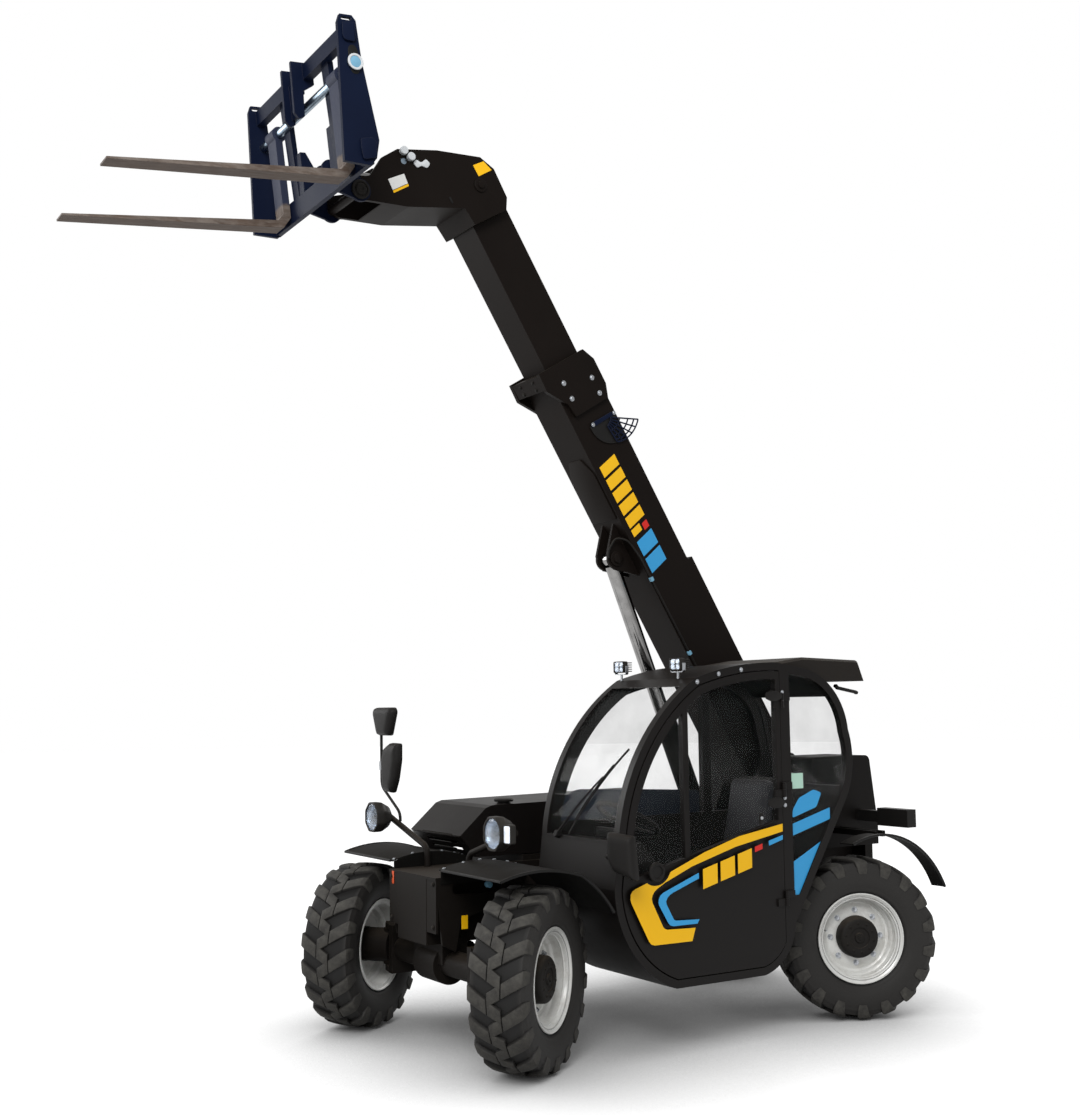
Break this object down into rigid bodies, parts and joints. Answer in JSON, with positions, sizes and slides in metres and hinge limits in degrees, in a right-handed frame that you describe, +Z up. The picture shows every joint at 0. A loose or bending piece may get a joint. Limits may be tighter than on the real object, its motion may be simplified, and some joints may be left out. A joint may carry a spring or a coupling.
{
  "type": "telehandler",
  "caption": "Compact telescopic handler with a side cab, raised telescopic boom with pallet forks, four-wheel steering and a tilting fork carriage.",
  "frame": {"origin": "on the ground under the middle of the whole machine's box, forks included", "axes": "+X to the machine's left, the cab's side; +Y to its rear; +Z up"},
  "size_m": [2.2038, 5.0178, 5.2548],
  "materials": {
    "body_black": "gloss",
    "cab_black": "gloss",
    "frame_black": "satin",
    "axle_black": "painted",
    "rim_silver": "satin",
    "tyre_rubber": "matt",
    "chrome_rod": "polished",
    "cylinder_black": "satin",
    "carriage_navy": "satin",
    "fork_steel": "worn",
    "shaft_steel": "ground",
    "glass_clear": "clear",
    "plastic_black": "matt",
    "lamp_housing": "cast",
    "seat_fabric": "woven",
    "engine_iron": "painted",
    "tank_black": "gloss"
  },
  "bodies": {
    "chassis": {"cab_frame": "cab_black", "console": "plastic_black", "counterweight": "frame_black", "engine_bay": "frame_black", "engine_block": "engine_iron", "frame": "frame_black", "front_axle": "axle_black", "front_guards": "plastic_black", "fuel_tank": "tank_black", "head_lamps": "lamp_housing", "hydraulic_tank": "tank_black", "inner_glass": "glass_clear", "lamp_brackets": "frame_black", "mirrors": "plastic_black", "quarter_glass": "glass_clear", "rear_axle": "axle_black", "rear_glass": "glass_clear", "rear_guards": "plastic_black", "roof_cap": "plastic_black", "roof_lamps": "lamp_housing", "seat": "seat_fabric", "seat_base": "plastic_black", "steering_wheel": "plastic_black", "tail_lamps": "plastic_black", "windscreen": "glass_clear"},
    "knuckle_front_left": {"knuckle_front_left": "axle_black"},
    "wheel_front_left": {"tyre_front_left": "tyre_rubber", "rim_front_left": "rim_silver"},
    "knuckle_front_right": {"knuckle_front_right": "axle_black"},
    "wheel_front_right": {"tyre_front_right": "tyre_rubber", "rim_front_right": "rim_silver"},
    "knuckle_rear_left": {"knuckle_rear_left": "axle_black"},
    "wheel_rear_left": {"tyre_rear_left": "tyre_rubber", "rim_rear_left": "rim_silver"},
    "knuckle_rear_right": {"knuckle_rear_right": "axle_black"},
    "wheel_rear_right": {"tyre_rear_right": "tyre_rubber", "rim_rear_right": "rim_silver"},
    "door": {"door": "cab_black", "door_glass": "glass_clear"},
    "hood": {"hood": "body_black"},
    "outer_boom": {"outer_boom": "body_black"},
    "inner_boom": {"inner_boom": "body_black", "boom_head": "body_black"},
    "lift_barrel": {"lift_barrel": "cylinder_black"},
    "lift_rod": {"lift_rod": "chrome_rod"},
    "tilt_barrel": {"tilt_barrel": "cylinder_black"},
    "tilt_rod": {"tilt_rod": "chrome_rod"},
    "carriage": {"carriage": "carriage_navy", "fork_shaft": "shaft_steel", "fork_left": "fork_steel", "fork_right": "fork_steel"}
  },
  "joints": [
    {"name": "steer_front_left", "type": "hinge", "parent": "chassis", "child": "knuckle_front_left", "pos_m": [0.565, -0.54673, 0.4575], "axis": [0, 0, 1], "range_deg": [-75.6, 4.4]},
    {"name": "spin_front_left", "type": "hinge", "parent": "knuckle_front_left", "child": "wheel_front_left", "pos_m": [0.72762, -0.4303, 0.4575], "axis": [0.8131, 0.5821, 0], "continuous": true},
    {"name": "steer_front_right", "type": "hinge", "parent": "chassis", "child": "knuckle_front_right", "pos_m": [-0.565, -0.54673, 0.4575], "axis": [0, 0, 1], "range_deg": [-75.6, 4.4]},
    {"name": "spin_front_right", "type": "hinge", "parent": "knuckle_front_right", "child": "wheel_front_right", "pos_m": [-0.72762, -0.66315, 0.4575], "axis": [0.8131, 0.5821, 0], "continuous": true},
    {"name": "steer_rear_left", "type": "hinge", "parent": "chassis", "child": "knuckle_rear_left", "pos_m": [0.565, 1.85327, 0.4575], "axis": [0, 0, -1], "range_deg": [-64.5, 15.5]},
    {"name": "spin_rear_left", "type": "hinge", "parent": "knuckle_rear_left", "child": "wheel_rear_left", "pos_m": [0.74699, 1.77033, 0.4575], "axis": [0.91, -0.4147, 0], "continuous": true},
    {"name": "steer_rear_right", "type": "hinge", "parent": "chassis", "child": "knuckle_rear_right", "pos_m": [-0.565, 1.85327, 0.4575], "axis": [0, 0, -1], "range_deg": [-64.5, 15.5]},
    {"name": "spin_rear_right", "type": "hinge", "parent": "knuckle_rear_right", "child": "wheel_rear_right", "pos_m": [-0.74699, 1.93621, 0.4575], "axis": [0.91, -0.4147, 0], "continuous": true},
    {"name": "boom_lift", "type": "hinge", "parent": "chassis", "child": "outer_boom", "pos_m": [0, 1.75327, 1.47], "axis": [-1, 0, 0], "range_deg": [-64.5, 8.5]},
    {"name": "boom_extend", "type": "slide", "parent": "outer_boom", "child": "inner_boom", "axis": [0, -0.5225, 0.8526], "range_m": [-0.8, 0.85]},
    {"name": "lift_swing", "type": "hinge", "parent": "chassis", "child": "lift_barrel", "pos_m": [0, 1.43327, 0.64], "axis": [-1, 0, 0], "range_deg": [-51.45, 7.21]},
    {"name": "lift_stroke", "type": "slide", "parent": "lift_barrel", "child": "lift_rod", "axis": [0, -0.3746, 0.9272], "range_m": [-0.9619, 0.1311]},
    {"name": "carriage_tilt", "type": "hinge", "parent": "inner_boom", "child": "carriage", "pos_m": [0, -1.10882, 4.54816], "axis": [1, 0, 0], "range_deg": [-75, 50]},
    {"name": "tilt_swing", "type": "hinge", "parent": "inner_boom", "child": "tilt_barrel", "pos_m": [0, -0.35863, 4.72874], "axis": [1, 0, 0], "range_deg": [-5, 3.5]},
    {"name": "tilt_stroke", "type": "slide", "parent": "tilt_barrel", "child": "tilt_rod", "axis": [0, -0.999, -0.0439], "range_m": [-0.2013, 0.1359]},
    {"name": "door_hinge", "type": "hinge", "parent": "chassis", "child": "door", "pos_m": [0.913, 1.11527, 0.001], "axis": [0, 0, 1], "range_deg": [0, 95]},
    {"name": "hood_hinge", "type": "hinge", "parent": "chassis", "child": "hood", "pos_m": [-0.5, 1.36527, 0.95], "axis": [-1, 0, 0], "range_deg": [0, 50]}
  ],
  "couplings": [
    {"joint": "steer_front_right", "follows": "steer_front_left", "ratio": 1},
    {"joint": "steer_rear_right", "follows": "steer_rear_left", "ratio": 1},
    {"joint": "lift_swing", "follows": "boom_lift", "ratio": 0.79},
    {"joint": "lift_stroke", "follows": "boom_lift", "m_per_rad": 0.85},
    {"joint": "tilt_swing", "follows": "carriage_tilt", "ratio": 0.06},
    {"joint": "tilt_stroke", "follows": "carriage_tilt", "m_per_rad": 0.15}
  ]
}
